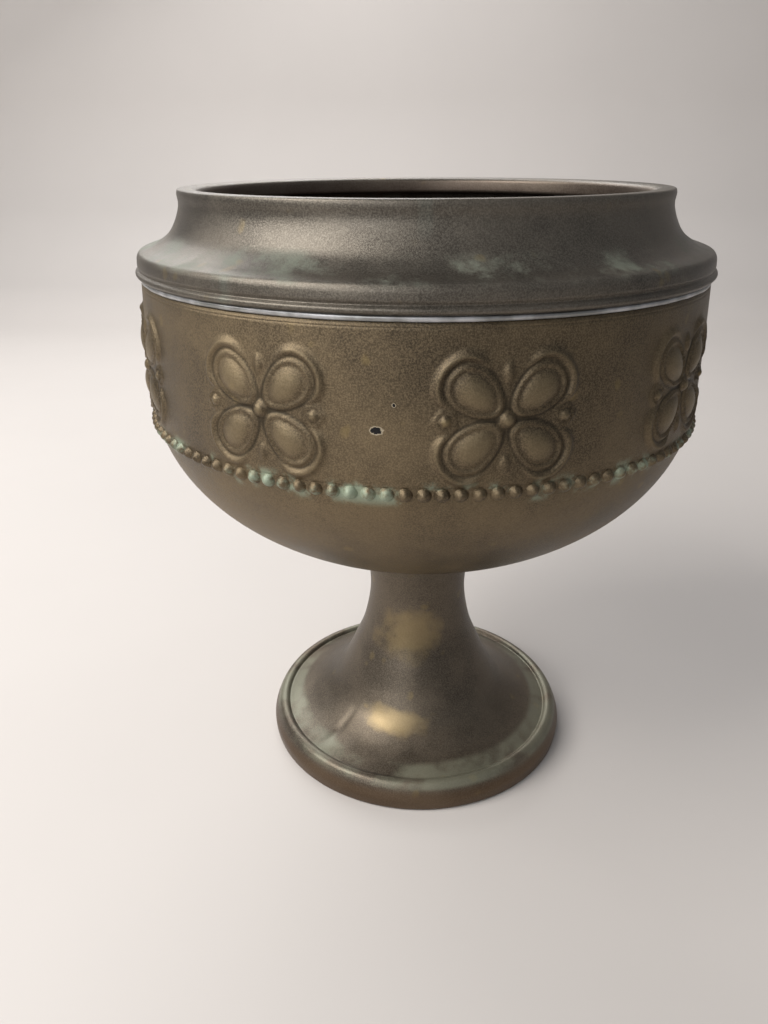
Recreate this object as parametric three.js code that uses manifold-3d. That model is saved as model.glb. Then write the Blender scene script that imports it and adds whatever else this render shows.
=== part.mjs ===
import * as THREE from 'three';
import { mergeVertices } from 'three/addons/utils/BufferGeometryUtils.js';
import Module from 'manifold-3d';

const wasm = await Module();
wasm.setup();

// Pedestal planter in pressed sheet brass. Millimetres, +Z up, front is -Y, foot rests on z = 0.

// Overall heights
const HEIGHT = 200;
const PEDESTAL_H = 80;
const COLLAR_H = 25.85;
const SEAM_Z = HEIGHT - COLLAR_H;

// Radii
const LIP_R = 74.8;
const LIP_W = 6.7;
const SHOULDER_R = 88;
const BELLY_R = 88.3;
const STEM_TOP_R = 19;
const WAIST_R = 17.8;
const FOOT_R = 57.15;

// Sheet, joints and roundness
const SHEET = 1;
const GAP = 0.35;
const SEG_BOWL = 48;
const SEG_FOOT = 40;

// Relief on the bowl
const FLOWERS = 9;
const FLOWER_FIRST = -26.5;
const FLOWER_Z = SEAM_Z - 22.15;
const PETAL_L = 15;
const PETAL_W = 9.6;
const PETAL_RISE = 1.8;
const PETAL_LEAN = 45;
const BEAD_D = 3;
const BEAD_DROP = 7;

// Clamp bolt, M8
const BOLT_R = 4;
const HOLE_R = 4.6;
const HEX_R = 7.5;
const HEAD_H = 5.3;
const NUT_H = 6.8;
const WASHER_T = 1.6;
const WASHER_R = 12;
const DISC_R = 14;

const FLOOR_Z = PEDESTAL_H + GAP;
const DEG = Math.PI / 180;

const BRASS = { color: 0x6b5a42, roughness: 0.45, metalness: 0.85 };
const FOOT_BRASS = { color: 0x6a5f4c, roughness: 0.45, metalness: 0.85 };
const SOLDER = { color: 0xb5b5b5, roughness: 0.4, metalness: 0.9 };
const STEEL = { color: 0x8d8a84, roughness: 0.5, metalness: 0.9 };
const WIRE = { color: 0x5c5a56, roughness: 0.6, metalness: 0.9 };

const root = new THREE.Group();
root.name = 'pedestal_planter';

function piece(name, geometry, look) {
  const flat = geometry.index ? geometry.toNonIndexed() : geometry;
  flat.computeVertexNormals();
  const mesh = new THREE.Mesh(flat, new THREE.MeshStandardMaterial(look));
  mesh.name = name;
  root.add(mesh);
}

function weld(geometry) {
  const plain = geometry.clone();
  plain.deleteAttribute('normal');
  plain.deleteAttribute('uv');
  return mergeVertices(plain, 1e-4);
}

function solid(geometry) {
  const merged = weld(geometry);
  const mesh = new wasm.Mesh({
    numProp: 3,
    vertProperties: Float32Array.from(merged.attributes.position.array),
    triVerts: Uint32Array.from(merged.index.array),
  });
  return new wasm.Manifold(mesh);
}

function unsolid(body) {
  const mesh = body.getMesh();
  const geometry = new THREE.BufferGeometry();
  geometry.setAttribute('position', new THREE.BufferAttribute(Float32Array.from(mesh.vertProperties), 3));
  geometry.setIndex(new THREE.BufferAttribute(Uint32Array.from(mesh.triVerts), 1));
  return geometry;
}

// Turn a closed outline (radius, height) about Z; the outline runs up on its outer side.
function turned(outline, segments) {
  const closed = [...outline, outline[0]];
  const points = closed.map(([r, z]) => new THREE.Vector2(r, z));
  const geometry = new THREE.LatheGeometry(points, segments);
  geometry.rotateX(Math.PI / 2);
  return weld(geometry);
}

// Sheet metal outline: the given face plus the same face set back by the thickness on its left.
function sheet(face, thickness) {
  const back = face.map((p, i) => {
    const a = face[Math.max(i - 1, 0)];
    const b = face[Math.min(i + 1, face.length - 1)];
    const before = i === 0 ? unit(p, b) : unit(a, p);
    const after = i === face.length - 1 ? before : unit(p, b);
    const nx = -(before[1] + after[1]);
    const nz = before[0] + after[0];
    const k = (2 * thickness) / (nx * nx + nz * nz);
    return [p[0] + nx * k, p[1] + nz * k];
  });
  return [...face, ...back.reverse()];
}

function unit(a, b) {
  const length = Math.hypot(b[0] - a[0], b[1] - a[1]);
  return [(b[0] - a[0]) / length, (b[1] - a[1]) / length];
}

function smooth(keys, steps) {
  const curve = new THREE.SplineCurve(keys.map(([r, z]) => new THREE.Vector2(r, z)));
  return curve.getPoints(steps).map((p) => [p.x, p.y]);
}

function ring(inner, outer, low, high, segments) {
  return turned([[inner, low], [outer, low], [outer, high], [inner, high]], segments);
}

function wireRing(radius, height, thick, segments) {
  const sides = 6;
  const outline = [];
  for (let i = 0; i < sides; i += 1) {
    const a = (i / sides) * 2 * Math.PI;
    outline.push([radius + thick * Math.cos(a), height + thick * Math.sin(a)]);
  }
  return turned(outline, segments);
}

// Bowl: flat floor, elliptical belly, nearly upright wall, top edge stepped in to enter the collar.
const BELLY_H = 60;
const BELLY_TOP = PEDESTAL_H + BELLY_H;
const BEAD_Z = BELLY_TOP - BEAD_DROP;
const TUCK_R = SHOULDER_R - SHEET - GAP - 0.05;
const TUCK_TOP = SEAM_Z + 6.9;

function wallRadius(z) {
  if (z < BELLY_TOP) {
    const c = (BELLY_TOP - z) / BELLY_H;
    return BELLY_R * Math.sqrt(1 - c * c);
  }
  const t = (z - BELLY_TOP) / (SEAM_Z - BELLY_TOP);
  return BELLY_R - 0.85 * t * t;
}

function bowlShell() {
  const face = [[HOLE_R, FLOOR_Z], [STEM_TOP_R + 3, FLOOR_Z]];
  const first = Math.asin((STEM_TOP_R + 9) / BELLY_R);
  const steps = 7;
  const last = Math.acos((BELLY_TOP - BEAD_Z + BEAD_D / 2) / BELLY_H);
  for (let i = 0; i <= steps; i += 1) {
    const a = first + ((last - first) * i) / steps;
    face.push([BELLY_R * Math.sin(a), BELLY_TOP - BELLY_H * Math.cos(a)]);
  }
  const beadR = wallRadius(BEAD_Z) + 0.45 * BEAD_D;
  face.push([beadR, BEAD_Z - 0.25 * BEAD_D]);
  face.push([beadR, BEAD_Z + 0.25 * BEAD_D]);
  face.push([wallRadius(BEAD_Z), BEAD_Z + BEAD_D / 2]);
  const middle = (BELLY_TOP + SEAM_Z) / 2;
  face.push([wallRadius(middle), middle]);
  face.push([wallRadius(SEAM_Z), SEAM_Z]);
  face.push([TUCK_R, SEAM_Z + 0.6]);
  face.push([TUCK_R, TUCK_TOP]);
  return turned(sheet(face, SHEET), SEG_BOWL);
}

// One raised blob on the wall, long axis leaning by the given angle, its back kept inside the sheet.
function blob(shape, azimuth, z, along, across, rise, lean) {
  const geometry = shape.clone();
  geometry.scale(across, along, rise);
  const points = geometry.attributes.position;
  for (let i = 0; i < points.count; i += 1) {
    points.setZ(i, Math.max(points.getZ(i), -0.4 * SHEET));
  }
  geometry.rotateZ(lean * DEG);
  geometry.rotateX(Math.PI / 2);
  geometry.translate(0, -wallRadius(z) + 0.4, z);
  geometry.rotateZ(azimuth * DEG);
  return solid(geometry);
}

function flower(azimuth) {
  const petal = new THREE.SphereGeometry(1, 6, 3);
  const bud = new THREE.OctahedronGeometry(1);
  const boss = new THREE.OctahedronGeometry(1);
  const reach = 0.36 * PETAL_L + 2;
  const perMm = 1 / (BELLY_R * DEG);
  const parts = [blob(boss, azimuth, FLOWER_Z, 1.9, 1.9, 2.4, 0)];
  for (const side of [-1, 1]) {
    for (const up of [-1, 1]) {
      const a = azimuth + side * reach * perMm;
      parts.push(blob(petal, a, FLOWER_Z + up * reach, PETAL_L / 2, PETAL_W / 2, PETAL_RISE, -side * up * PETAL_LEAN));
    }
    parts.push(blob(bud, azimuth + side * 14.5 * perMm, FLOWER_Z, 2, 3, 1.8, 0));
  }
  return parts;
}

function bowl() {
  const parts = [solid(bowlShell())];
  for (let i = 0; i < FLOWERS; i += 1) {
    parts.push(...flower(FLOWER_FIRST + (360 / FLOWERS) * i));
  }
  return unsolid(wasm.Manifold.union(parts));
}

// Collar: beaded lower edge, upright band, rounded shoulder, hollow throat, neck and turned-in lip.
const COLLAR_Z = SEAM_Z + 2.35;

function collar() {
  const face = [
    [SHOULDER_R + 0.3, COLLAR_Z],
    [SHOULDER_R + 0.85, COLLAR_Z + 0.7],
    [SHOULDER_R + 0.75, COLLAR_Z + 1.4],
    [SHOULDER_R - 0.2, COLLAR_Z + 2.2],
    [SHOULDER_R + 0.1, COLLAR_Z + 3],
    [SHOULDER_R, HEIGHT - 18.4],
    [SHOULDER_R - 0.8, HEIGHT - 17.1],
  ];
  const throat = [
    [SHOULDER_R - 2.2, HEIGHT - 16.3],
    [LIP_R + 7.2, HEIGHT - 14.9],
    [LIP_R + 3.4, HEIGHT - 12.2],
    [LIP_R + 1.2, HEIGHT - 8.6],
    [LIP_R - 0.2, HEIGHT - 4.5],
    [LIP_R, HEIGHT - 1.1],
  ];
  face.push(...smooth(throat, 5));
  face.push([LIP_R - 0.9, HEIGHT]);
  face.push([LIP_R - 4.6, HEIGHT]);
  face.push([LIP_R - LIP_W + 1.1, HEIGHT - 0.35]);
  face.push([LIP_R - LIP_W + 0.1, HEIGHT - 1.3]);
  face.push([LIP_R - LIP_W, HEIGHT - 4.6]);
  face.push([LIP_R - LIP_W + 0.7, HEIGHT - 5.6]);
  face.push([LIP_R - LIP_W + 3.3, HEIGHT - 5.7]);
  return turned(sheet(face, SHEET), SEG_BOWL);
}

// Pedestal: hemmed foot edge, skirt, rounded ridge, bell and waisted stem closed by a top plate.
function pedestal() {
  const face = [
    [FOOT_R - 4.55, 5.2],
    [FOOT_R - 4.55, 1.1],
    [FOOT_R - 3.55, 0],
    [FOOT_R - 1.35, 0],
    [FOOT_R - 0.15, 1.3],
    [FOOT_R, 4.7],
    [FOOT_R - 1.5, 8.4],
    [FOOT_R - 2.75, 9.9],
    [FOOT_R - 4.15, 10.5],
    [FOOT_R - 5.35, 10.1],
    [FOOT_R - 6.15, 9.2],
  ];
  const bell = [
    [FOOT_R - 7.2, 9.6],
    [FOOT_R - 17.6, 14],
    [WAIST_R + 15.3, 18.7],
    [WAIST_R + 10.6, 26],
    [WAIST_R + 6.6, 34.5],
    [WAIST_R + 2.4, 45],
    [WAIST_R, 59],
    [STEM_TOP_R - 0.2, 74],
    [STEM_TOP_R, PEDESTAL_H - 1.4],
  ];
  face.push(...smooth(bell, 11));
  face.push([STEM_TOP_R - 1, PEDESTAL_H]);
  face.push([HOLE_R, PEDESTAL_H]);
  return turned(sheet(face, SHEET), SEG_FOOT);
}

// Fillet of solder where the stem meets the bowl.
function stemSolder() {
  const low = PEDESTAL_H - 1.6;
  const high = PEDESTAL_H;
  const inner = STEM_TOP_R + GAP + 0.1;
  return turned([[inner, low], [inner + 2.2, high - 0.4], [inner + 2.2, high], [inner, high]], SEG_FOOT);
}

function hexBlock(height) {
  const block = new THREE.CylinderGeometry(HEX_R, HEX_R, height, 6);
  block.rotateX(Math.PI / 2);
  return block;
}

function rod(radius, low, high) {
  const shape = new THREE.CylinderGeometry(radius, radius, high - low, 24);
  shape.rotateX(Math.PI / 2);
  shape.translate(0, 0, (low + high) / 2);
  return shape;
}

const WASHER_Z = FLOOR_Z + SHEET + GAP;
const HEAD_Z = WASHER_Z + WASHER_T + GAP;
const DISC_TOP = PEDESTAL_H - SHEET - GAP;
const NUT_TOP = DISC_TOP - WASHER_T - GAP;

function baseBolt() {
  const head = hexBlock(HEAD_H);
  head.translate(0, 0, HEAD_Z + HEAD_H / 2);
  const shank = rod(BOLT_R, NUT_TOP - NUT_H - 4, HEAD_Z + 1);
  return unsolid(solid(head).add(solid(shank)));
}

function clampNut() {
  const block = hexBlock(NUT_H);
  block.translate(0, 0, NUT_TOP - NUT_H / 2);
  const bore = rod(BOLT_R + GAP, NUT_TOP - NUT_H - 2, NUT_TOP + 2);
  return unsolid(solid(block).subtract(solid(bore)));
}

piece('bowl', bowl(), BRASS);
piece('collar', collar(), BRASS);
piece('rim_wire', wireRing(LIP_R - LIP_W + 2.8, HEIGHT - 3.1, 1.25, SEG_BOWL), WIRE);
piece('collar_solder', ring(TUCK_R + GAP, SHOULDER_R - 0.4, SEAM_Z + 0.95, COLLAR_Z - GAP, SEG_BOWL), SOLDER);
piece('pedestal', pedestal(), FOOT_BRASS);
piece('foot_wire', wireRing(FOOT_R - 2.3, 2.35, 0.85, SEG_FOOT), WIRE);
piece('stem_solder', stemSolder(), SOLDER);
piece('bolt_washer', ring(HOLE_R, WASHER_R, WASHER_Z, WASHER_Z + WASHER_T, 32), STEEL);
piece('base_bolt', baseBolt(), STEEL);
piece('clamp_disc', ring(HOLE_R, DISC_R, DISC_TOP - WASHER_T, DISC_TOP, 32), STEEL);
piece('clamp_nut', clampNut(), STEEL);

export default root;
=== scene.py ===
import math

import bpy
import numpy as np
from mathutils import Matrix, Vector


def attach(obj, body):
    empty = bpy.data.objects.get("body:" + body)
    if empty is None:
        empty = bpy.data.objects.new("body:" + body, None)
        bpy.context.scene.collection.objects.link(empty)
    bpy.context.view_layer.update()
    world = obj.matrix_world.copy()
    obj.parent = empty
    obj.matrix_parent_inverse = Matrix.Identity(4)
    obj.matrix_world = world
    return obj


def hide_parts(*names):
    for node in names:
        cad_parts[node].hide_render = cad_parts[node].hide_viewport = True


bl_info = {
    "name": "Pedestal planter",
    "version": (1, 0, 0),
    "blender": (4, 5, 0),
    "location": "View3D > Sidebar > Planter",
    "description": "Dresses the planter's frame with embossed sheet, seams and patina",
    "category": "Object",
}

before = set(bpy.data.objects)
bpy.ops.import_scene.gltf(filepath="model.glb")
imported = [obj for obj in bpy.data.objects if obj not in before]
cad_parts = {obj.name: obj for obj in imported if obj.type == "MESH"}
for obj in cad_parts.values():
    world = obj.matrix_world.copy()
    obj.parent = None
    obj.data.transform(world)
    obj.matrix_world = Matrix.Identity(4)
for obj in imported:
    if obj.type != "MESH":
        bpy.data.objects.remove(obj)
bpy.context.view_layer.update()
MM = 0.001
BODY = "root"

# Heights and radii shared by the pieces, in millimetres
HEIGHT = 200.0
PEDESTAL_H = 80.0
FLOOR_Z = 80.35
SEAM_Z = 174.15
COLLAR_Z = SEAM_Z + 2.35
BELLY_R = 88.3
BELLY_H = 60.0
BELLY_TOP = PEDESTAL_H + BELLY_H
TUCK_R = 86.6
TUCK_H = 6.9
SHOULDER_R = 88.0
LIP_R = 74.8
STEM_R = 19.0
WAIST_R = 17.8
FOOT_R = 57.15
BOLT_HOLE_R = 4.6
SOLDER_R = 87.0
WALL_LEAN = 0.85

# Thickness of each dressed sheet, in millimetres
BOWL_SHEET = 0.78
COLLAR_SHEET = 0.9
FOOT_SHEET = 0.95

# The relief band: heights in millimetres, first flower and first bead in degrees from the front
BAND_LOW = 134.2
BEAD_Z = 133.0
FLOWER_Z = 152.0
FLOWERS = 9
FLOWER_START = -26.5
BEAD_START = 0.8
EDGE_TUCK = 0.6
SKIN_GAP = 0.22
WELD = 0.02 * MM

# One flower, in millimetres from its middle: place, half axes and lean in degrees
PETAL_AT = (7.7, 6.6)
PETAL_HALF = (7.4, 5.4)
PETAL_LEAN = 40.0
BUD_AT = 14.9
BUD_R = 2.3
LEAF_AT = 11.2
LEAF_HALF = (1.3, 2.6)
BOSS_R = 2.1

# Steps round each turned piece, and over one sector of the band
BOWL_SEGMENTS = 180
COLLAR_SEGMENTS = 300
FOOT_SEGMENTS = 240
SECTOR_COLS = 109
SECTOR_ROWS = 70

# Worn holes in the wall, drawn as painted shade with no opening cut: azimuth in degrees, then height,
# half width and half height in millimetres
HOLES = ((-6.7, 149.5, 1.3, 0.85), (-4.0, 155.8, 0.4, 0.4))

# Dents in the bell: azimuth in degrees, then radius, half length round and half length across
# in millimetres, then depth as a share of the size in the panel
DENTS = (
    (-58, 34, 16, 7, 0.9),
    (-47, 42, 9, 5, 0.7),
    (-30, 46, 6, 4, -0.35),
    (-72, 45, 10, 6, 0.6),
    (20, 44, 12, 5, 0.35),
)

# Rubbed patches on the foot: azimuth in degrees, then height, radius, half width and half height
# in millimetres; every patch reaches SPOT_REACH in and out of the surface
RUBBED = ((-10.0, 48.0, 19.0, 14.0, 11.0), (-14.0, 19.0, 33.0, 13.0, 5.0))
SPOT_REACH = 12.0

# Backdrop in metres: distance behind the planter and height, from the front edge up
BACKDROP = ((-1.2, 0.0), (0.75, 0.0), (0.9, 0.03), (1.0, 0.13), (1.03, 0.28), (1.03, 1.6))
BACKDROP_HALF = 2.2
SKY = (0.80, 0.83, 0.88, 1)
SKY_STRENGTH = 0.3

# Soft lights: name, place, target and size in metres, share of the power, colour
LIGHTS = (
    ("key", (-0.75, -0.35, 0.85), (0, 0, 0.12), (0.7, 0.7), 2.6, (1.0, 0.98, 0.95)),
    ("back", (-0.35, 0.75, 0.8), (0, 0, 0.15), (0.9, 0.5), 1.4, (1, 1, 1)),
    ("front", (-0.45, -0.9, 0.55), (0, 0, 0.12), (0.5, 0.5), 0.7, (1, 1, 1)),
)

# Camera: place in metres, angles in degrees
CAMERA_AT = (0.0, -0.2678, 0.2103)
CAMERA_PITCH = 24.42
CAMERA_YAW = -2.71
CAMERA_ROLL = -0.25


class BowlSizes(bpy.types.PropertyGroup):
    relief: bpy.props.FloatProperty(
        name="Relief",
        description="Height of the embossed flowers",
        default=1.55 * MM,
        unit="LENGTH",
    )
    bead: bpy.props.FloatProperty(
        name="Bead", description="Width of one bead", default=3.7 * MM, unit="LENGTH"
    )
    beads: bpy.props.IntProperty(name="Beads", description="Beads around the belly", default=120)
    patina: bpy.props.FloatVectorProperty(
        name="Patina",
        description="Main colour of the bowl",
        default=(0.15, 0.112, 0.066),
        subtype="COLOR",
    )


class FootSizes(bpy.types.PropertyGroup):
    dent: bpy.props.FloatProperty(
        name="Dents", description="Depth of the dents in the foot", default=0.9 * MM, unit="LENGTH"
    )
    patina: bpy.props.FloatVectorProperty(
        name="Patina",
        description="Main colour of the foot",
        default=(0.135, 0.108, 0.08),
        subtype="COLOR",
    )


class StageSizes(bpy.types.PropertyGroup):
    lens: bpy.props.FloatProperty(name="Lens", description="Focal length in mm", default=28.125)
    key_power: bpy.props.FloatProperty(
        name="Light", description="Power that all the lights share", default=5.0, subtype="POWER"
    )
    floor: bpy.props.FloatVectorProperty(
        name="Floor", description="Colour of the floor", default=(0.62, 0.58, 0.55), subtype="COLOR"
    )


class Val:
    """A shader value; arithmetic on it adds maths nodes to its net."""

    def __init__(self, net, socket):
        self.net = net
        self.socket = socket

    def __add__(self, other):
        return self.net.maths("ADD", self, other)

    __radd__ = __add__

    def __mul__(self, other):
        return self.net.maths("MULTIPLY", self, other)

    __rmul__ = __mul__

    def __sub__(self, other):
        return self.net.maths("SUBTRACT", self, other)

    def __rsub__(self, other):
        return self.net.maths("SUBTRACT", other, self)


class Net:
    """One material and the nodes that feed its main shader."""

    def __init__(self, name):
        self.mat = bpy.data.materials.new(name)
        self.mat.use_nodes = True
        self.tree = self.mat.node_tree
        self.bsdf = self.tree.nodes["Principled BSDF"]

    def feed(self, socket, value):
        if isinstance(value, Val):
            self.tree.links.new(value.socket, socket)
        else:
            socket.default_value = value

    def node(self, kind, output, inputs=(), **settings):
        node = self.tree.nodes.new(kind)
        for key, value in settings.items():
            setattr(node, key, value)
        for key, value in inputs:
            self.feed(node.inputs[key], value)
        return Val(self, node.outputs[output])

    def maths(self, operation, a, b):
        return self.node("ShaderNodeMath", 0, ((0, a), (1, b)), operation=operation)

    def vector(self, operation, a, b, output=0):
        return self.node("ShaderNodeVectorMath", output, ((0, a), (1, b)), operation=operation)

    def dot(self, a, b):
        return self.vector("DOT_PRODUCT", a, b, "Value")

    def place(self):
        return self.node("ShaderNodeTexCoord", "Object")

    def axis(self, name):
        return self.node("ShaderNodeSeparateXYZ", name, ((0, self.place()),))

    def noise(self, scale, detail=4.0, rough=0.55, at=None):
        at = at or self.place()
        inputs = (("Vector", at), ("Scale", scale), ("Detail", detail), ("Roughness", rough))
        return self.node("ShaderNodeTexNoise", "Fac", inputs)

    def cells(self, scale, at):
        return self.node("ShaderNodeTexVoronoi", "Distance", (("Vector", at), ("Scale", scale)))

    def stretched(self, factors):
        inputs = (("Vector", self.place()), ("Scale", factors))
        return self.node("ShaderNodeMapping", 0, inputs)

    def ramp(self, value, low, high):
        inputs = (("Value", value), ("From Min", low), ("From Max", high))
        settings = {"clamp": True, "interpolation_type": "SMOOTHSTEP"}
        return self.node("ShaderNodeMapRange", 0, inputs, **settings)

    def mix(self, fac, a, b):
        inputs = ((0, fac), (6, a), (7, b))
        return self.node("ShaderNodeMix", 2, inputs, data_type="RGBA")

    def attribute(self, name):
        return self.node("ShaderNodeAttribute", "Fac", (), attribute_name=name)

    def bump(self, height, strength, distance):
        inputs = (("Height", height), ("Strength", strength), ("Distance", distance))
        return self.node("ShaderNodeBump", 0, inputs)

    def finish(self, **sockets):
        for key, value in sockets.items():
            self.feed(self.bsdf.inputs[key.replace("_", " ")], value)
        return self.mat


def rgb(r, g, b):
    return (r, g, b, 1.0)


def spot(net, azimuth, z, radius, wide, tall):
    """1 at the middle of a patch on the surface, 0 at its edge and less than 0 beyond."""
    a = math.radians(azimuth)
    centre = Vector((radius * math.sin(a), -radius * math.cos(a), z)) * MM
    away = net.vector("SUBTRACT", net.place(), centre)
    u = net.dot(away, Vector((math.cos(a), math.sin(a), 0.0)) / (wide * MM))
    v = net.dot(away, Vector((0.0, 0.0, 1.0)) / (tall * MM))
    w = net.dot(away, Vector((math.sin(a), -math.cos(a), 0.0)) / (SPOT_REACH * MM))
    return 1.0 - (u * u + v * v + w * w)


def band(net, z, start, full, fade, end):
    """1 between two heights in millimetres, fading out below and above."""
    return net.ramp(z, start * MM, full * MM) * net.ramp(z, end * MM, fade * MM)


def patina(name, base, light, dark):
    """Brown skin of old brass: soft clouds, a fine grain, dark flecks and round yellow spots."""
    net = Net(name)
    cloud = net.ramp(net.noise(32.0, 6.0, 0.62), 0.33, 0.7)
    grain = net.ramp(net.noise(2400.0, 3.0, 0.7), 0.38, 0.66)
    fleck = net.ramp(net.noise(800.0, 3.0, 0.6), 0.6, 0.72)
    wander = net.vector("ADD", net.place(), net.noise(160.0, 2.0) * 0.004)
    sparse = net.ramp(net.noise(55.0, 1.0), 0.5, 0.6)
    rounds = net.ramp(net.cells(120.0, wander), 0.24, 0.12) * sparse
    colour = net.mix(cloud, rgb(*dark), rgb(*base))
    colour = net.mix(grain * 0.36, colour, rgb(*light))
    colour = net.mix(fleck * 0.3, colour, rgb(*dark))
    colour = net.mix(rounds * 0.28, colour, rgb(0.30, 0.22, 0.09))
    return net, colour, cloud, grain


def bowl_material(base):
    light, dark = (0.33, 0.25, 0.15), (0.062, 0.047, 0.03)
    net, colour, cloud, grain = patina("bowl_patina", base, light, dark)
    z = net.axis("Z")
    rubbed_and_groove_shade = net.attribute("relief")
    # Rubbed raised tops turn lighter brass; the grooves round the petals and buds go near black,
    # painted shade with some dirt.
    colour = net.mix(net.ramp(rubbed_and_groove_shade, 0.35, 1.0) * 0.4, colour, rgb(0.27, 0.21, 0.12))
    colour = net.mix(net.ramp(rubbed_and_groove_shade, -0.02, -0.5) * 0.75, colour, rgb(0.03, 0.024, 0.016))
    near_beads = band(net, z, BEAD_Z - 4.5, BEAD_Z - 1.0, BEAD_Z + 1.0, BEAD_Z + 4.5)
    green = near_beads * net.ramp(net.noise(95.0, 5.0, 0.65), 0.52, 0.66)
    colour = net.mix(green * 0.7, colour, rgb(0.30, 0.38, 0.28))
    edge = 0.0
    inside = 0.0
    ragged = net.noise(1300.0, 4.0, 0.7) * 3.0 - 1.5
    for azimuth, height, wide, tall in HOLES:
        field = spot(net, azimuth, height, BELLY_R, wide, tall) + ragged
        inside = net.maths("MAXIMUM", inside, net.ramp(field, -0.1, 0.1))
        edge = net.maths("MAXIMUM", edge, net.ramp(field, -1.1, -0.4))
    colour = net.mix(edge, colour, rgb(0.42, 0.36, 0.26))
    # The holes are painted near black: painted shade of the dark inside seen through them.
    colour = net.mix(inside, colour, rgb(0.004, 0.003, 0.003))
    height = grain * 0.5 + net.noise(220.0, 4.0) * 0.7
    rough = 0.36 + cloud * 0.12 + grain * 0.08 + inside * 0.4
    return net.finish(
        Base_Color=colour,
        Metallic=0.8 - green * 0.6 - inside * 0.7,
        Roughness=rough,
        Normal=net.bump(height, 0.25, 0.0004),
    )


def collar_material():
    base, light, dark = (0.135, 0.115, 0.092), (0.27, 0.245, 0.20), (0.07, 0.06, 0.049)
    net, colour, cloud, grain = patina("collar_patina", base, light, dark)
    z = net.axis("Z")
    shoulder = band(net, z, HEIGHT - 18.5, HEIGHT - 16.0, HEIGHT - 14.0, HEIGHT - 10.5)
    green = shoulder * net.ramp(net.noise(55.0, 6.0, 0.7), 0.46, 0.66)
    colour = net.mix(green * 0.6, colour, rgb(0.19, 0.215, 0.165))
    streak = net.ramp(net.noise(45.0, 3.0, 0.6, net.stretched((1.0, 1.0, 0.25))), 0.62, 0.72)
    colour = net.mix(streak * 0.3, colour, rgb(0.24, 0.28, 0.24))
    flat = net.vector("MULTIPLY", net.place(), (1.0, 1.0, 0.0))
    out = net.node("ShaderNodeVectorMath", "Value", ((0, flat),), operation="LENGTH")
    inner = net.ramp(out, (LIP_R - 5.3) * MM, (LIP_R - 7.3) * MM)
    colour = net.mix(inner * 0.4, colour, rgb(0.11, 0.05, 0.03))
    height = grain * 0.35 + net.noise(160.0, 4.0) * 0.5
    return net.finish(
        Base_Color=colour,
        Metallic=0.8 - green * 0.45,
        Roughness=0.34 + cloud * 0.1 + grain * 0.07 + green * 0.2,
        Normal=net.bump(height, 0.2, 0.0003),
    )


def inside_material():
    base, light, dark = (0.045, 0.03, 0.022), (0.10, 0.06, 0.04), (0.015, 0.011, 0.009)
    net, colour, cloud, _ = patina("bowl_inside", base, light, dark)
    rust = net.ramp(net.noise(18.0, 3.0), 0.5, 0.62)
    colour = net.mix(rust * 0.6, colour, rgb(0.20, 0.075, 0.035))
    return net.finish(Base_Color=colour, Metallic=0.5, Roughness=0.55 + cloud * 0.2)


def foot_material(base):
    light, dark = (0.27, 0.225, 0.165), (0.065, 0.053, 0.041)
    net, colour, cloud, grain = patina("foot_patina", base, light, dark)
    z = net.axis("Z")
    ragged = net.noise(90.0, 5.0) * 2.6
    high, low = (net.ramp(spot(net, *patch) + ragged - 1.3, -0.2, 0.9) for patch in RUBBED)
    gold = net.maths("MAXIMUM", high, low)
    colour = net.mix(gold * 0.5, colour, rgb(0.34, 0.25, 0.12))
    crest = band(net, z, 7.5, 9.0, 10.5, 11.5)
    green = crest * net.ramp(net.noise(50.0, 4.0), 0.4, 0.6)
    colour = net.mix(green * 0.5, colour, rgb(0.23, 0.24, 0.17))
    skirt = net.ramp(z, 8.8 * MM, 6.0 * MM)
    colour = net.mix(skirt * 0.55, colour, rgb(0.115, 0.068, 0.036))
    height = grain * 0.35 + net.noise(140.0, 4.0) * 0.5
    return net.finish(
        Base_Color=colour,
        Metallic=0.82 - green * 0.4,
        Roughness=0.33 + cloud * 0.12 + grain * 0.06,
        Normal=net.bump(height, 0.2, 0.0003),
    )


def solder_material(name):
    net = Net(name)
    cloud = net.ramp(net.noise(120.0, 4.0), 0.35, 0.7)
    colour = net.mix(cloud, rgb(0.25, 0.25, 0.24), rgb(0.55, 0.55, 0.56))
    return net.finish(Base_Color=colour, Metallic=0.85, Roughness=0.38 + cloud * 0.1)


def steel_material():
    net = Net("dull_steel")
    cloud = net.noise(80.0, 4.0)
    colour = net.mix(cloud, rgb(0.16, 0.14, 0.12), rgb(0.32, 0.31, 0.29))
    return net.finish(Base_Color=colour, Metallic=0.85, Roughness=0.45 + cloud * 0.1)


def mesh_object(name, verts, faces, materials):
    mesh = bpy.data.meshes.new(name)
    mesh.from_pydata([tuple(v) for v in verts], [], faces)
    mesh.update()
    obj = bpy.data.objects.new(name, mesh)
    bpy.context.scene.collection.objects.link(obj)
    for material in materials:
        mesh.materials.append(material)
    mesh.shade_smooth()
    return obj


def grid_faces(rows, cols, closed=False):
    """Quads over a grid of points; a closed grid joins up both ways."""
    open_edge = 0 if closed else 1
    faces = []
    for i in range(rows - open_edge):
        for j in range(cols - open_edge):
            k = (i + 1) % rows
            m = (j + 1) % cols
            faces.append((i * cols + j, i * cols + m, k * cols + m, k * cols + j))
    return faces


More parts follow.
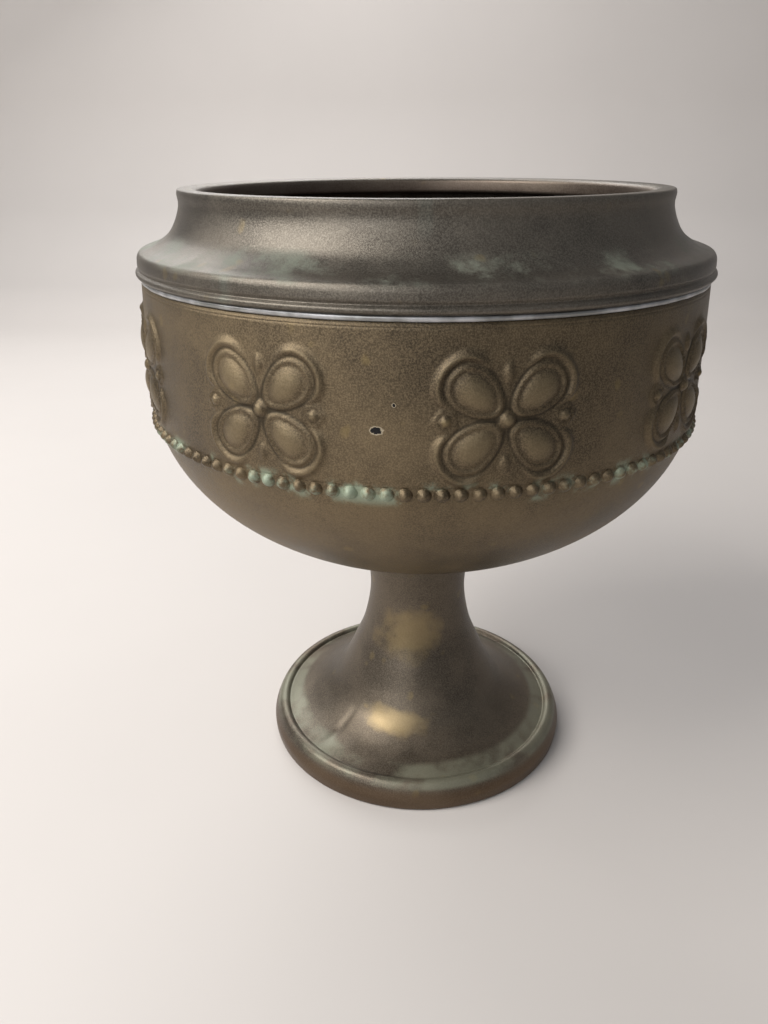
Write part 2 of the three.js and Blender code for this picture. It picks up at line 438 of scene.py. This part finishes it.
def fine(keys, step):
    """Evenly sampled smooth curve through (radius, height) keys."""
    pts = np.array(keys, dtype=float)
    pad = np.vstack([2 * pts[0] - pts[1], pts, 2 * pts[-1] - pts[-2]])
    out = []
    for i in range(1, len(pad) - 2):
        p0, p1, p2, p3 = pad[i - 1 : i + 3]
        count = max(2, int(np.linalg.norm(p2 - p1) / step))
        for t in np.linspace(0, 1, count, endpoint=False):
            a = 2 * p1
            b = (p2 - p0) * t
            c = (2 * p0 - 5 * p1 + 4 * p2 - p3) * t * t
            d = (3 * p1 - p0 - 3 * p2 + p3) * t**3
            out.append(0.5 * (a + b + c + d))
    out.append(pts[-1])
    return [tuple(p) for p in out]


def rounded(points, radius, steps=4):
    """The open outline with each inner corner rounded."""
    pts = [np.array(p, dtype=float) for p in points]
    out = [pts[0]]
    for a, b, c in zip(pts, pts[1:], pts[2:]):
        la, lc = np.linalg.norm(a - b), np.linalg.norm(c - b)
        cut = min(radius, 0.45 * la, 0.45 * lc)
        p = b + (a - b) / la * cut
        q = b + (c - b) / lc * cut
        for t in np.linspace(0, 1, steps + 1):
            out.append((1 - t) ** 2 * p + 2 * t * (1 - t) * b + t * t * q)
    out.append(pts[-1])
    return [tuple(p) for p in out]


def set_back(face, thickness):
    """The outline moved to its left by the thickness of the sheet."""
    pts = np.array(face)
    ahead = np.diff(pts, axis=0)
    ahead /= np.linalg.norm(ahead, axis=1)[:, None]
    before = np.vstack([ahead[:1], ahead])
    after = np.vstack([ahead, ahead[-1:]])
    normal = np.stack([-(before[:, 1] + after[:, 1]), before[:, 0] + after[:, 0]], 1)
    k = 2 * thickness / (normal**2).sum(1)
    return [tuple(p) for p in pts + normal * k[:, None]]


def turned(name, outline, segments, materials, shift=None):
    """Closed outline turned about Z; shift(azimuth, r, z) gives extra radius and height."""
    pts = np.array(outline)
    angle = np.linspace(0, 2 * math.pi, segments, endpoint=False)
    r, a = np.meshgrid(pts[:, 0], angle, indexing="ij")
    z, _ = np.meshgrid(pts[:, 1], angle, indexing="ij")
    if shift:
        dr, dz = shift(a, r, z)
        r = r + dr
        z = z + dz
    verts = np.stack([r * np.sin(a), -r * np.cos(a), z], -1).reshape(-1, 3) * MM
    return mesh_object(name, verts, grid_faces(len(pts), segments, closed=True), materials)


def wall_radius(z):
    """Outer radius of the bowl at a height: an ellipse, then a wall that leans in a little."""
    c = np.clip((BELLY_TOP - z) / BELLY_H, 0, 1)
    t = np.clip((z - BELLY_TOP) / (SEAM_Z - BELLY_TOP), 0, 1)
    return BELLY_R * np.sqrt(1 - c * c) - WALL_LEAN * t * t


def local(u, v, cu, cv, a, b, lean=0.0):
    """Place along and across a leaning ellipse, in units of its half axes."""
    c, s = math.cos(math.radians(lean)), math.sin(math.radians(lean))
    x = (u - cu) * c + (v - cv) * s
    y = -(u - cu) * s + (v - cv) * c
    return x / a, y / b


def dome(rho, power):
    """1 at the middle, 0 from a distance of 1 outwards; a low power gives steep sides."""
    return np.clip(1 - rho**2, 0, None) ** power


def ridge(rho, at, width):
    """A soft ring of height 1 at one distance from the middle."""
    return np.exp(-(((rho - at) / width) ** 2))


def flower_field(u, v):
    """Height of one flower, 0 to 1, and its wear with painted groove shade, over u (round) and v (up)
    in millimetres.
    """
    height = np.zeros_like(u)
    wear_and_groove_shade = np.zeros_like(u)
    for side in (-1, 1):
        for up in (-1, 1):
            lean = PETAL_LEAN * side * up
            x, y = local(u, v, side * PETAL_AT[0], up * PETAL_AT[1], *PETAL_HALF, lean)
            outward = x * side
            y = y * (1.0 + 0.22 * (0.2 - outward))
            rho = np.hypot(x, y)
            rim = 0.62 * ridge(rho, 0.93, 0.085)
            height = np.maximum(height, np.maximum(rim, dome(rho / 0.86, 0.75)))
            # Dark rings just inside and outside each petal's rim: painted shade in the grooves.
            wear_and_groove_shade -= 0.45 * ridge(rho, 0.83, 0.05) + 0.5 * ridge(rho, 1.13, 0.09)
            tip = np.clip(outward * 1.4 - 0.1, 0, 1)
            crescent = ridge(rho, 1.2 + 0.08 * tip, 0.12) * tip
            height = np.maximum(height, 0.75 * crescent)
    for side in (-1, 1):
        x, y = local(u, v, side * BUD_AT, 0.0, BUD_R, BUD_R)
        rho = np.hypot(x, y)
        petals = 0.12 * np.cos(5 * np.arctan2(y, x * side))
        height = np.maximum(height, 0.85 * dome(rho / (0.72 + petals), 0.7))
        height = np.maximum(height, 0.45 * ridge(rho, 1.0 + petals, 0.16))
        # Dark ring round each bud: painted shade in its groove.
        wear_and_groove_shade -= 0.5 * ridge(rho, 0.72, 0.1)
        x, y = local(u, v, 0.0, side * LEAF_AT, *LEAF_HALF)
        height = np.maximum(height, 0.5 * dome(np.hypot(x, y), 0.6))
    height = np.maximum(height, dome(np.hypot(u, v) / BOSS_R, 0.6))
    return height, wear_and_groove_shade + height


def flower_sector(relief):
    """One sector of the wall with its flower, edges tucked behind the plain shell."""
    half = math.pi / FLOWERS
    angle = np.linspace(-half, half, SECTOR_COLS)
    z = np.linspace(BAND_LOW, SEAM_Z, SECTOR_ROWS)
    zz, aa = np.meshgrid(z, angle, indexing="ij")
    height, wear_and_groove_shade = flower_field(aa * BELLY_R, zz - FLOWER_Z)
    fade = np.clip((half - np.abs(aa)) / 0.03, 0, 1)
    r = wall_radius(zz) + height * fade * relief / MM
    r[[0, -1]] -= EDGE_TUCK
    verts = np.stack([r * np.sin(aa), -r * np.cos(aa), zz], -1).reshape(-1, 3) * MM
    obj = mesh_object("flower_sector", verts, grid_faces(SECTOR_ROWS, SECTOR_COLS), [])
    # The stored relief value lightens the rubbed tops and darkens the grooves with painted shade.
    data = obj.data.attributes.new("relief", "FLOAT", "POINT")
    data.data.foreach_set("value", np.clip(wear_and_groove_shade * fade, -1, 1).astype(np.float32).ravel())
    return obj


def bead_dome(width):
    """One raised bead with a soft skirt, standing on the wall at the front."""
    around, rings = 14, 6
    radius = 0.5 * width
    tall = 0.92 * radius
    wall = float(wall_radius(BEAD_Z)) * MM
    middle = BEAD_Z * MM
    verts = [(0, -wall - tall, middle)]
    for i in range(1, rings + 1):
        t = i / rings
        out = 1.12 * radius * t
        rise = tall * math.cos(t * math.pi / 2) ** 0.8 - 0.15 * MM * t
        for j in range(around):
            a = 2 * math.pi * j / around
            verts.append((out * math.cos(a), -wall - rise, middle + out * math.sin(a)))
    faces = [(0, 1 + j, 1 + (j + 1) % around) for j in range(around)]
    for i in range(rings - 1):
        for j in range(around):
            m = (j + 1) % around
            a = 1 + i * around
            b = a + around
            faces.append((a + j, b + j, b + m, a + m))
    return mesh_object("bead", verts, faces, [])


def geo(tree, kind, inputs=(), **settings):
    """Adds a node and feeds its inputs; a value that is a socket is linked."""
    node = tree.nodes.new(kind)
    for key, value in settings.items():
        setattr(node, key, value)
    for key, value in inputs:
        if isinstance(value, bpy.types.NodeSocket):
            tree.links.new(value, node.inputs[key])
        else:
            node.inputs[key].default_value = value
    return node


def ring_of(tree, source, count, start):
    """Nodes that repeat an object around Z, one copy each count-th of a turn."""
    steps = (("Count", count), ("Offset", (0.0, 0.0, 0.0)))
    line = geo(tree, "GeometryNodeMeshLine", steps, mode="OFFSET")
    info = geo(tree, "GeometryNodeObjectInfo", (("Object", source),))
    index = geo(tree, "GeometryNodeInputIndex")
    pitch = geo(tree, "ShaderNodeMath", ((0, 2 * math.pi), (1, count)), operation="DIVIDE")
    place = ((0, index.outputs[0]), (1, pitch.outputs[0]), (2, math.radians(start)))
    turn = geo(tree, "ShaderNodeMath", place, operation="MULTIPLY_ADD")
    euler = geo(tree, "ShaderNodeCombineXYZ", ((2, turn.outputs[0]),))
    copies = (
        ("Points", line.outputs[0]),
        ("Instance", info.outputs["Geometry"]),
        ("Rotation", euler.outputs[0]),
    )
    return geo(tree, "GeometryNodeInstanceOnPoints", copies).outputs[0]


def repeat_tree(name, kinds):
    """Geometry group that adds rings of copies to the piece, then realizes and paints them."""
    tree = bpy.data.node_groups.new(name, "GeometryNodeTree")
    face = tree.interface
    face.new_socket("Geometry", in_out="INPUT", socket_type="NodeSocketGeometry")
    for kind, _ in kinds:
        face.new_socket(kind + " shape", in_out="INPUT", socket_type="NodeSocketObject")
        face.new_socket(kind + " count", in_out="INPUT", socket_type="NodeSocketInt")
    face.new_socket("Material", in_out="INPUT", socket_type="NodeSocketMaterial")
    face.new_socket("Geometry", in_out="OUTPUT", socket_type="NodeSocketGeometry")
    given = geo(tree, "NodeGroupInput").outputs
    join = geo(tree, "GeometryNodeJoinGeometry")
    for kind, start in kinds:
        copies = ring_of(tree, given[kind + " shape"], given[kind + " count"], start)
        tree.links.new(copies, join.inputs[0])
    real = geo(tree, "GeometryNodeRealizeInstances", ((0, join.outputs[0]),))
    weld = geo(tree, "GeometryNodeMergeByDistance", ((0, real.outputs[0]), ("Distance", WELD)))
    finish = ((0, weld.outputs[0]), ("Material", given["Material"]))
    paint = geo(tree, "GeometryNodeSetMaterial", finish)
    both = geo(tree, "GeometryNodeJoinGeometry", ((0, paint.outputs[0]),))
    tree.links.new(given["Geometry"], both.inputs[0])
    geo(tree, "NodeGroupOutput", ((0, both.outputs[0]),))
    return tree


def bake(obj, tree, values):
    """Applies the node group with its named inputs and leaves a plain mesh."""
    modifier = obj.modifiers.new("repeat", "NODES")
    modifier.node_group = tree
    names = {s.name: s.identifier for s in tree.interface.items_tree if s.in_out == "INPUT"}
    for key, value in values.items():
        modifier[names[key]] = value
    obj.update_tag()
    depsgraph = bpy.context.evaluated_depsgraph_get()
    mesh = bpy.data.meshes.new_from_object(obj.evaluated_get(depsgraph), depsgraph=depsgraph)
    obj.modifiers.remove(modifier)
    obj.data = mesh


def claim(obj, node):
    """Tells the frame which solid the piece stands for."""
    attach(obj, BODY)
    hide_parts(node)


def bowl_face():
    """Outer face, from the bolt hole to the top of the tuck, set in behind the embossed skin."""
    first = math.asin((STEM_R + 9) / BELLY_R)
    last = math.acos((BELLY_TOP - BEAD_Z + 2) / BELLY_H)
    face = [(BOLT_HOLE_R, FLOOR_Z), (STEM_R + 3, FLOOR_Z)]
    for a in np.linspace(first, last, 34):
        face.append((BELLY_R * math.sin(a), BELLY_TOP - BELLY_H * math.cos(a)))
    for z in np.linspace(BEAD_Z - 1, BAND_LOW + 1.2, 4):
        face.append((float(wall_radius(z)), z))
    for z in np.linspace(BAND_LOW + 2.5, SEAM_Z - 1.2, 10):
        face.append((float(wall_radius(z)) - SKIN_GAP, z))
    seam_r = float(wall_radius(SEAM_Z))
    face += [(seam_r, SEAM_Z - 0.4), (seam_r, SEAM_Z)]
    face += [(TUCK_R, SEAM_Z + 0.6), (TUCK_R, SEAM_Z + TUCK_H)]
    return face


class PLANTER_OT_bowl(bpy.types.Operator):
    """Pressed bowl with embossed flowers and a row of beads"""

    bl_idname = "planter.bowl"
    bl_label = "Bowl"

    def execute(self, context):
        sizes = context.scene.planter_bowl
        outside = bowl_material(tuple(sizes.patina))
        face = bowl_face()
        outline = face + set_back(face, BOWL_SHEET)[::-1]
        obj = turned("bowl_dressed", outline, BOWL_SEGMENTS, [outside, inside_material()])
        for poly in obj.data.polygons:
            row = poly.index // BOWL_SEGMENTS
            if len(face) - 1 <= row < len(outline) - 1:
                poly.material_index = 1
        sector = flower_sector(sizes.relief)
        bead = bead_dome(sizes.bead)
        tree = repeat_tree("bowl_relief", (("Flower", FLOWER_START), ("Bead", BEAD_START)))
        values = {
            "Flower shape": sector,
            "Flower count": FLOWERS,
            "Bead shape": bead,
            "Bead count": sizes.beads,
            "Material": outside,
        }
        bake(obj, tree, values)
        for helper in (sector, bead):
            bpy.data.objects.remove(helper)
        obj.data.shade_smooth()
        claim(obj, "bowl")
        return {"FINISHED"}


class PLANTER_OT_collar(bpy.types.Operator):
    """Stepped collar with its lip, and the solder line below it"""

    bl_idname = "planter.collar"
    bl_label = "Collar"

    def execute(self, context):
        edge = (SHOULDER_R - 2.2, HEIGHT - 16.35)
        top = (LIP_R - 0.02, HEIGHT - 1.4)
        band = [
            (SHOULDER_R + 0.2, COLLAR_Z),
            (SHOULDER_R + 0.8, COLLAR_Z + 0.6),
            (SHOULDER_R + 0.75, COLLAR_Z + 1.4),
            (SHOULDER_R - 0.3, COLLAR_Z + 2.1),
            (SHOULDER_R - 0.2, COLLAR_Z + 2.5),
            (SHOULDER_R + 0.1, COLLAR_Z + 3.1),
            (SHOULDER_R - 0.05, HEIGHT - 18.2),
            (SHOULDER_R - 0.7, HEIGHT - 16.9),
            edge,
        ]
        throat = [
            edge,
            (LIP_R + 7.2, HEIGHT - 15.0),
            (LIP_R + 3.4, HEIGHT - 12.3),
            (LIP_R + 1.1, HEIGHT - 8.6),
            (LIP_R - 0.25, HEIGHT - 4.5),
            top,
        ]
        lip = [
            top,
            (LIP_R - 0.25, HEIGHT - 0.02),
            (LIP_R - 4.6, HEIGHT - 0.02),
            (LIP_R - 6.4, HEIGHT - 0.8),
            (LIP_R - 6.65, HEIGHT - 5.2),
            (LIP_R - 3.4, HEIGHT - 5.65),
        ]
        face = rounded(band, 0.9)[:-1] + fine(throat, 0.9)[:-1] + rounded(lip, 1.0)
        outline = face + set_back(face, COLLAR_SHEET)[::-1]
        obj = turned("collar_dressed", outline, COLLAR_SEGMENTS, [collar_material()])
        claim(obj, "collar")
        low, high = SEAM_Z + 0.75, COLLAR_Z - 0.12
        seam = [
            (SOLDER_R, low),
            (SOLDER_R + 0.55, low + 0.1),
            (SOLDER_R + 0.75, (low + high) / 2),
            (SOLDER_R + 0.6, high - 0.1),
            (SOLDER_R, high),
        ]
        silver = solder_material("solder_line")
        line = turned("solder_dressed", seam, COLLAR_SEGMENTS, [silver], solder_lumps)
        claim(line, "collar_solder")
        return {"FINISHED"}


def solder_lumps(a, r, z):
    """Uneven outer face of the hand-run solder."""
    wave = 0.09 * np.sin(7 * a + 1.0) + 0.06 * np.sin(19 * a) + 0.05 * np.sin(43 * a + 0.5)
    return np.where(r > SOLDER_R + 0.2, wave - 0.12, 0.0), 0.0


def turn_from(a, azimuth):
    """Degrees from an azimuth to an angle in radians, the short way round."""
    return (np.degrees(a) - azimuth + 180) % 360 - 180


def foot_dents(depth):
    """Shift that presses the dents and one crease into the bell, and leaves the rim alone."""

    def shift(a, r, z):
        down = np.zeros_like(r)
        for azimuth, radius, wide, tall, amount in DENTS:
            along = np.radians(turn_from(a, azimuth)) * radius
            down += amount * np.exp(-((along / wide) ** 2) - ((r - radius) / tall) ** 2)
        down += 0.5 * np.exp(-((turn_from(a, -44) / 2.2) ** 2) - ((r - 41) / 7) ** 2)
        inside = np.clip((50 - r) / 4, 0, 1) * np.clip((z - 5.5) / 3, 0, 1)
        return -0.15 * down * inside * depth / MM, -down * inside * depth / MM

    return shift


class PLANTER_OT_foot(bpy.types.Operator):
    """Spun pedestal with bell, ridge and hemmed skirt"""

    bl_idname = "planter.foot"
    bl_label = "Pedestal"

    def execute(self, context):
        sizes = context.scene.planter_foot
        groove = (FOOT_R - 7.2, 9.55)
        neck = (STEM_R - 0.05, PEDESTAL_H - 1.4)
        hem = [
            (FOOT_R - 4.55, 5.2),
            (FOOT_R - 4.55, 0.02),
            (FOOT_R - 0.5, 0.02),
            (FOOT_R - 0.05, 4.4),
            (FOOT_R - 1.5, 8.3),
            (FOOT_R - 2.6, 10.0),
            (FOOT_R - 4.15, 10.6),
            (FOOT_R - 5.5, 10.2),
            (FOOT_R - 6.15, 9.15),
            groove,
        ]
        bell = [
            groove,
            (FOOT_R - 12.0, 11.3),
            (FOOT_R - 17.6, 14.0),
            (WAIST_R + 15.3, 18.7),
            (WAIST_R + 10.6, 26.0),
            (WAIST_R + 6.6, 34.5),
            (WAIST_R + 2.4, 45.0),
            (WAIST_R, 59.0),
            (STEM_R - 0.25, 74.0),
            neck,
        ]
        top = [neck, (STEM_R - 0.9, PEDESTAL_H - 0.02), (BOLT_HOLE_R, PEDESTAL_H - 0.02)]
        face = rounded(hem, 1.3)[:-1] + fine(bell, 1.0)[:-1] + top
        outline = face + set_back(face, FOOT_SHEET)[::-1]
        paint = foot_material(tuple(sizes.patina))
        obj = turned("pedestal_dressed", outline, FOOT_SEGMENTS, [paint], foot_dents(sizes.dent))
        claim(obj, "pedestal")
        return {"FINISHED"}


class PLANTER_OT_hidden(bpy.types.Operator):
    """Finishes for the bolt set, the wires and the lower solder"""

    bl_idname = "planter.hidden"
    bl_label = "Bolt set, wires and solder"

    def execute(self, context):
        steel = steel_material()
        steel_nodes = ("rim_wire", "foot_wire", "bolt_washer", "base_bolt", "clamp_disc", "clamp_nut")
        looks = {name: steel for name in steel_nodes}
        looks["stem_solder"] = solder_material("solder_fillet")
        for name, material in looks.items():
            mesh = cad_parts[name].data
            mesh.materials.clear()
            mesh.materials.append(material)
        return {"FINISHED"}


def area_light(name, where, target, size, power, colour):
    """A soft rectangular light that faces its target."""
    data = bpy.data.lights.new(name, "AREA")
    data.shape = "RECTANGLE"
    data.size, data.size_y = size
    data.energy = power
    data.color = colour
    light = bpy.data.objects.new(name, data)
    bpy.context.scene.collection.objects.link(light)
    light.location = where
    light.rotation_euler = (Vector(target) - Vector(where)).to_track_quat("-Z", "Y").to_euler()


class PLANTER_OT_stage(bpy.types.Operator):
    """Floor, lights and camera"""

    bl_idname = "planter.stage"
    bl_label = "Stage"

    def execute(self, context):
        scene = context.scene
        sizes = scene.planter_stage
        floor_net = Net("pale_floor")
        mottle = floor_net.noise(6.0, 3.0)
        shade = tuple(sizes.floor)
        dark = tuple(0.93 * c for c in shade)
        colour = floor_net.mix(mottle, rgb(*dark), rgb(*shade))
        paint = floor_net.finish(Base_Color=colour, Roughness=0.7)
        verts = [(x, y, z) for y, z in BACKDROP for x in (-BACKDROP_HALF, BACKDROP_HALF)]
        faces = [(2 * i, 2 * i + 1, 2 * i + 3, 2 * i + 2) for i in range(len(BACKDROP) - 1)]
        mesh_object("floor", verts, faces, [paint])
        world = bpy.data.worlds.new("studio")
        world.use_nodes = True
        sky = world.node_tree.nodes["Background"]
        sky.inputs["Color"].default_value = SKY
        sky.inputs["Strength"].default_value = SKY_STRENGTH
        scene.world = world
        for name, where, target, size, share, tint in LIGHTS:
            area_light(name, where, target, size, sizes.key_power * share, tint)
        data = bpy.data.cameras.new("camera")
        data.sensor_width = 36.0
        data.lens = sizes.lens
        data.clip_start = 0.01
        camera = bpy.data.objects.new("camera", data)
        scene.collection.objects.link(camera)
        camera.matrix_world = camera_pose(CAMERA_AT, CAMERA_PITCH, CAMERA_YAW, CAMERA_ROLL)
        scene.camera = camera
        scene.view_settings.view_transform = "Standard"
        return {"FINISHED"}


def camera_pose(where, pitch, yaw, roll):
    """Camera matrix from its place and its angles in degrees: down, to the right, and turned."""
    p, y, r = (math.radians(v) for v in (pitch, yaw, roll))
    ahead = Vector((math.sin(y) * math.cos(p), math.cos(y) * math.cos(p), -math.sin(p)))
    right = ahead.cross(Vector((0, 0, 1))).normalized()
    up = right.cross(ahead)
    right_r = right * math.cos(r) + up * math.sin(r)
    up_r = up * math.cos(r) - right * math.sin(r)
    turn = Matrix((right_r, up_r, -ahead)).transposed().to_4x4()
    return Matrix.Translation(Vector(where)) @ turn


class PLANTER_PT_panel(bpy.types.Panel):
    """Lists the pieces"""

    bl_idname = "PLANTER_PT_panel"
    bl_label = "Pedestal planter"
    bl_space_type = "VIEW_3D"
    bl_region_type = "UI"
    bl_category = "Planter"

    def draw(self, context):
        for operator in OPERATORS:
            self.layout.operator(operator.bl_idname)
        for group, kind in GROUPS.items():
            for name in kind.__annotations__:
                self.layout.prop(getattr(context.scene, group), name)


OPERATORS = (
    PLANTER_OT_bowl,
    PLANTER_OT_collar,
    PLANTER_OT_foot,
    PLANTER_OT_hidden,
    PLANTER_OT_stage,
)
GROUPS = {"planter_bowl": BowlSizes, "planter_foot": FootSizes, "planter_stage": StageSizes}


def register():
    for cls in (*GROUPS.values(), *OPERATORS, PLANTER_PT_panel):
        bpy.utils.register_class(cls)
    for name, cls in GROUPS.items():
        setattr(bpy.types.Scene, name, bpy.props.PointerProperty(type=cls))


def unregister():
    for name in GROUPS:
        delattr(bpy.types.Scene, name)
    for cls in (PLANTER_PT_panel, *reversed(OPERATORS), *GROUPS.values()):
        bpy.utils.unregister_class(cls)


def main():
    register()
    bpy.ops.planter.bowl()
    bpy.ops.planter.collar()
    bpy.ops.planter.foot()
    bpy.ops.planter.hidden()
    bpy.ops.planter.stage()


if __name__ == "__main__":
    main()
